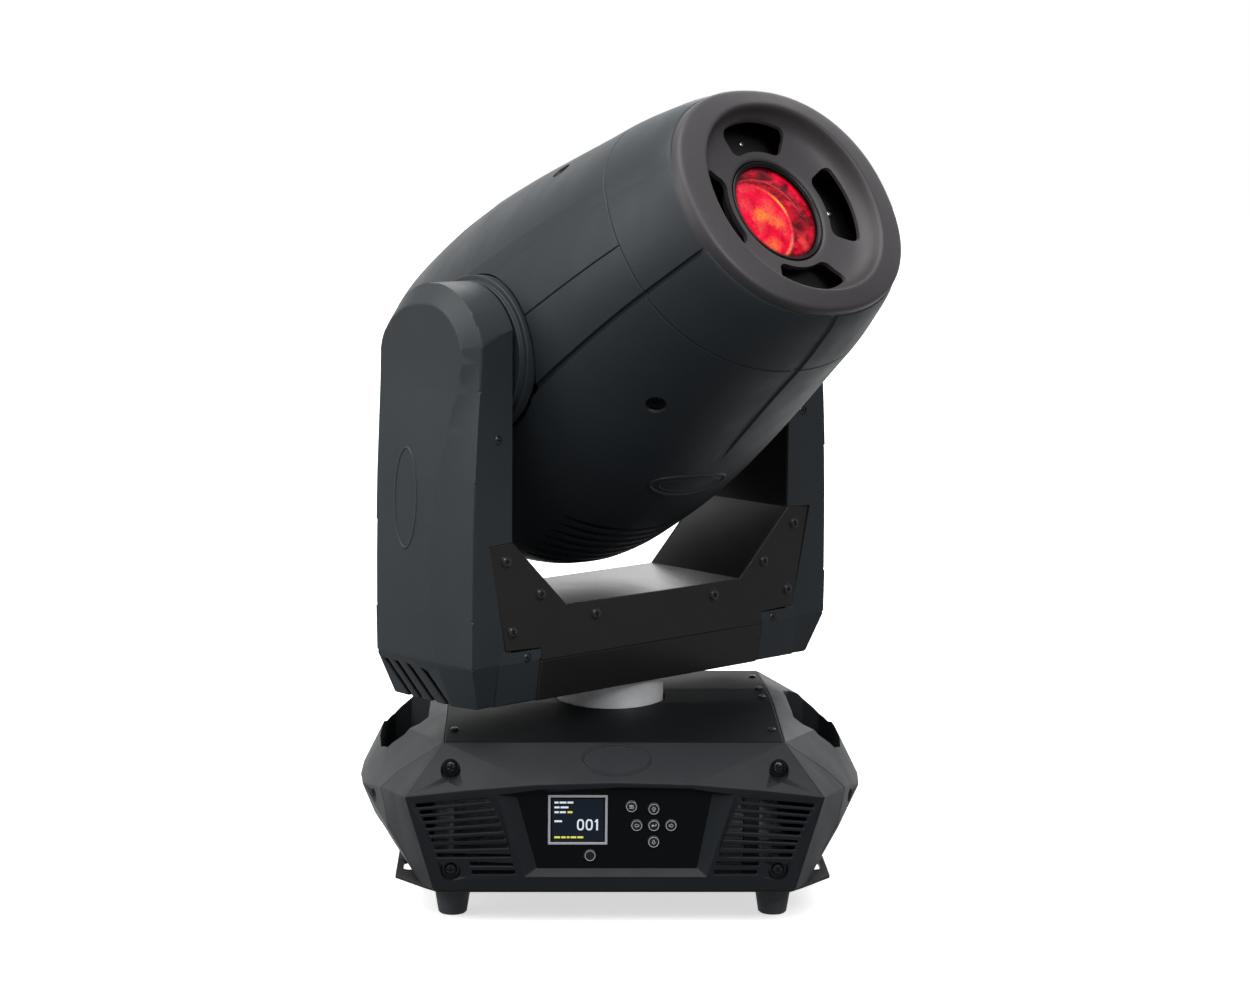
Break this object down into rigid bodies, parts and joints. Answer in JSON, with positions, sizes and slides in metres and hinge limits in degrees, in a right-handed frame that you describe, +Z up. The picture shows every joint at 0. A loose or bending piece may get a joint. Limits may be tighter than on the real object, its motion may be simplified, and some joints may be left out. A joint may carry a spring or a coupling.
{
  "type": "moving head light",
  "caption": "Stage spotlight: a tilting rounded head with a dished front ring, held in a U-shaped yoke that pans on a low base with handles, display and keys.",
  "frame": {"origin": "pan axis at the level of the feet's undersides", "axes": "+Z up along the pan axis, -Y towards the base's control panel, +X to the right of someone facing the panel"},
  "size_m": [0.4342, 0.4327, 0.6575],
  "materials": {
    "cover_plastic": "charcoal textured satin plastic",
    "handle_plastic": "charcoal textured satin plastic",
    "black_sheet": "black satin powder coat",
    "dark_sheet": "dark satin powder coat",
    "ring_plastic": "charcoal satin plastic",
    "rubber": "moulded rubber",
    "screw_steel": "black oxide",
    "panel_gloss": "gloss black panel",
    "bezel": "pale grey",
    "screen": "display glass",
    "key": "black key cap",
    "board": "circuit board",
    "collar_alu": "satin turned",
    "steel": "machined steel",
    "alu": "cast and milled",
    "motor_black": "motor enamel",
    "belt_rubber": "toothed belt",
    "black_plastic": "black plastic",
    "lens_glass": "coated lens, lit red",
    "barrel_black": "black anodised",
    "filter_glass": "dichroic glass"
  },
  "bodies": {
    "base": {"base_plate": "black_sheet", "base_frame": "dark_sheet", "base_front_cover": "cover_plastic", "base_rear_cover": "cover_plastic", "left_handle_cover": "handle_plastic", "right_handle_cover": "handle_plastic", "top_cover": "dark_sheet", "rubber_feet": "rubber", "base_cover_screws": "screw_steel", "top_cover_screws": "screw_steel", "control_panel": "panel_gloss", "display_bezel": "bezel", "display_screen": "screen", "control_board": "board", "rear_connector_plate": "black_sheet", "mains_inlet": "black_plastic", "data_connectors": "black_plastic", "power_supply": "alu", "lamp_ballast": "alu", "pan_motor": "motor_black", "pan_bearing": "steel", "pan_belt": "belt_rubber", "base_fan_frame": "black_plastic"},
    "yoke": {"pan_shaft": "collar_alu", "pan_pulley": "alu", "yoke_cradle": "black_sheet", "yoke_front_plate": "black_sheet", "yoke_rear_plate": "black_sheet", "yoke_bottom_pan": "black_sheet", "left_arm_cover": "cover_plastic", "right_arm_cover": "cover_plastic", "yoke_plate_screws": "screw_steel", "arm_cover_screws": "screw_steel", "tilt_motor": "motor_black", "tilt_bearings": "steel", "tilt_belt": "belt_rubber"},
    "head": {"head_top_cover": "cover_plastic", "head_bottom_cover": "cover_plastic", "nose_cover": "cover_plastic", "front_ring": "ring_plastic", "front_lens": "lens_glass", "lens_barrel": "barrel_black", "head_chassis": "alu", "lamp_module": "alu", "trunnions": "alu", "tilt_pulley": "alu", "head_cover_screws": "screw_steel"},
    "menu_key_cap": {"menu_key": "key"},
    "up_key_cap": {"up_key": "key"},
    "down_key_cap": {"down_key": "key"},
    "left_key_cap": {"left_key": "key"},
    "right_key_cap": {"right_key": "key"},
    "enter_key_cap": {"enter_key": "key"},
    "display_switch_cap": {"display_switch": "key"},
    "base_fan_rotor_body": {"base_fan_rotor": "black_plastic"},
    "pan_motor_pulley_body": {"pan_motor_pulley": "alu"},
    "tilt_motor_pulley_body": {"tilt_motor_pulley": "alu"},
    "color_wheel_body": {"color_wheel": "filter_glass"},
    "gobo_wheel_body": {"gobo_wheel": "steel"},
    "focus_carriage_body": {"focus_carriage": "alu"}
  },
  "joints": [
    {"name": "pan", "type": "hinge", "parent": "base", "child": "yoke", "pos_m": [0, 0, 0.13], "axis": [0, 0, 1], "range_deg": [-311.16, 228.84]},
    {"name": "tilt", "type": "hinge", "parent": "yoke", "child": "head", "pos_m": [0, 0, 0.447], "axis": [0.7529, 0.6582, 0], "range_deg": [-185.9, 70.1]},
    {"name": "menu_key_press", "type": "slide", "parent": "base", "child": "menu_key_cap", "axis": [0, 1, 0], "range_m": [0, 0.0008], "stiffness_N_per_m": 400, "springref_m": -0.001},
    {"name": "up_key_press", "type": "slide", "parent": "base", "child": "up_key_cap", "axis": [0, 1, 0], "range_m": [0, 0.0008], "stiffness_N_per_m": 400, "springref_m": -0.001},
    {"name": "down_key_press", "type": "slide", "parent": "base", "child": "down_key_cap", "axis": [0, 1, 0], "range_m": [0, 0.0008], "stiffness_N_per_m": 400, "springref_m": -0.001},
    {"name": "left_key_press", "type": "slide", "parent": "base", "child": "left_key_cap", "axis": [0, 1, 0], "range_m": [0, 0.0008], "stiffness_N_per_m": 400, "springref_m": -0.001},
    {"name": "right_key_press", "type": "slide", "parent": "base", "child": "right_key_cap", "axis": [0, 1, 0], "range_m": [0, 0.0008], "stiffness_N_per_m": 400, "springref_m": -0.001},
    {"name": "enter_key_press", "type": "slide", "parent": "base", "child": "enter_key_cap", "axis": [0, 1, 0], "range_m": [0, 0.0008], "stiffness_N_per_m": 400, "springref_m": -0.001},
    {"name": "display_switch_press", "type": "slide", "parent": "base", "child": "display_switch_cap", "axis": [0, 1, 0], "range_m": [0, 0.0008], "stiffness_N_per_m": 400, "springref_m": -0.001},
    {"name": "base_fan_spin", "type": "hinge", "parent": "base", "child": "base_fan_rotor_body", "pos_m": [0.0884, 0.146, 0.066], "axis": [0, 1, 0], "continuous": true},
    {"name": "pan_motor_spin", "type": "hinge", "parent": "base", "child": "pan_motor_pulley_body", "pos_m": [0.078, 0.066, 0.1], "axis": [0, 0, 1], "range_deg": [-1560, 1150]},
    {"name": "tilt_motor_spin", "type": "hinge", "parent": "yoke", "child": "tilt_motor_pulley_body", "pos_m": [0.14154, 0.12373, 0.345], "axis": [0.7529, 0.6582, 0], "range_deg": [-760, 300]},
    {"name": "color_wheel_spin", "type": "hinge", "parent": "head", "child": "color_wheel_body", "pos_m": [0.02989, 0.05089, 0.43531], "axis": [0.5575, -0.6378, 0.5314], "continuous": true},
    {"name": "gobo_wheel_spin", "type": "hinge", "parent": "head", "child": "gobo_wheel_body", "pos_m": [-0.04328, -0.03558, 0.44594], "axis": [0.5575, -0.6378, 0.5314], "continuous": true},
    {"name": "focus_slide", "type": "slide", "parent": "head", "child": "focus_carriage_body", "axis": [0.5575, -0.6378, 0.5314], "range_m": [-0.026, 0.036]}
  ],
  "couplings": [
    {"joint": "pan_motor_spin", "follows": "pan", "ratio": 5},
    {"joint": "tilt_motor_spin", "follows": "tilt", "ratio": 4}
  ]
}
